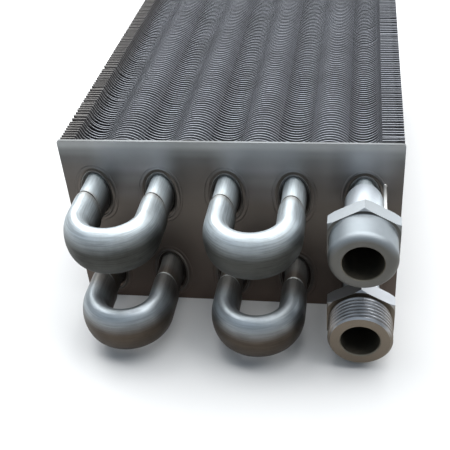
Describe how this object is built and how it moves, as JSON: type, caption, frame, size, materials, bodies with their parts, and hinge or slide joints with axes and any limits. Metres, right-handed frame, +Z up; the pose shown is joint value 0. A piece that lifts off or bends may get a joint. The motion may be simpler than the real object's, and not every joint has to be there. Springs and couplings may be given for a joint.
{
  "type": "finned tube boiler heat exchanger",
  "caption": "Finned tube heat exchanger block with oval tubes, return bends at both ends, two tube plates and a pair of hexagonal pipe connections.",
  "frame": {"origin": "under the middle of the overall length and width, at the height of the tube plates' lower edges", "axes": "+Y along the tubes from the connections to the rear, +X across them towards the connections, +Z up"},
  "size_m": [0.18, 0.3884, 0.1075],
  "materials": {
    "plate": "satin rolled stainless sheet",
    "fin": "bare sheet, light grey edges",
    "tube": "satin drawn tube",
    "bend": "satin drawn tube, bent",
    "connection": "matt machined steel",
    "pin": "bright drawn wire"
  },
  "bodies": {
    "root": {"front_plate": "plate", "rear_plate": "plate", "fins": "fin", "upper_tube_1": "tube", "upper_tube_2": "tube", "upper_tube_3": "tube", "upper_tube_4": "tube", "upper_tube_5": "tube", "lower_tube_1": "tube", "lower_tube_2": "tube", "lower_tube_3": "tube", "lower_tube_4": "tube", "lower_tube_5": "tube", "front_bend_upper_left": "bend", "front_bend_upper_right": "bend", "front_bend_lower_left": "bend", "front_bend_lower_right": "bend", "rear_bend_upper_left": "bend", "rear_bend_upper_right": "bend", "rear_bend_lower_left": "bend", "rear_bend_lower_right": "bend", "rear_crossover_bend": "bend", "upper_connection": "connection", "lower_connection": "connection", "stay_pin": "pin"}
  },
  "joints": []
}
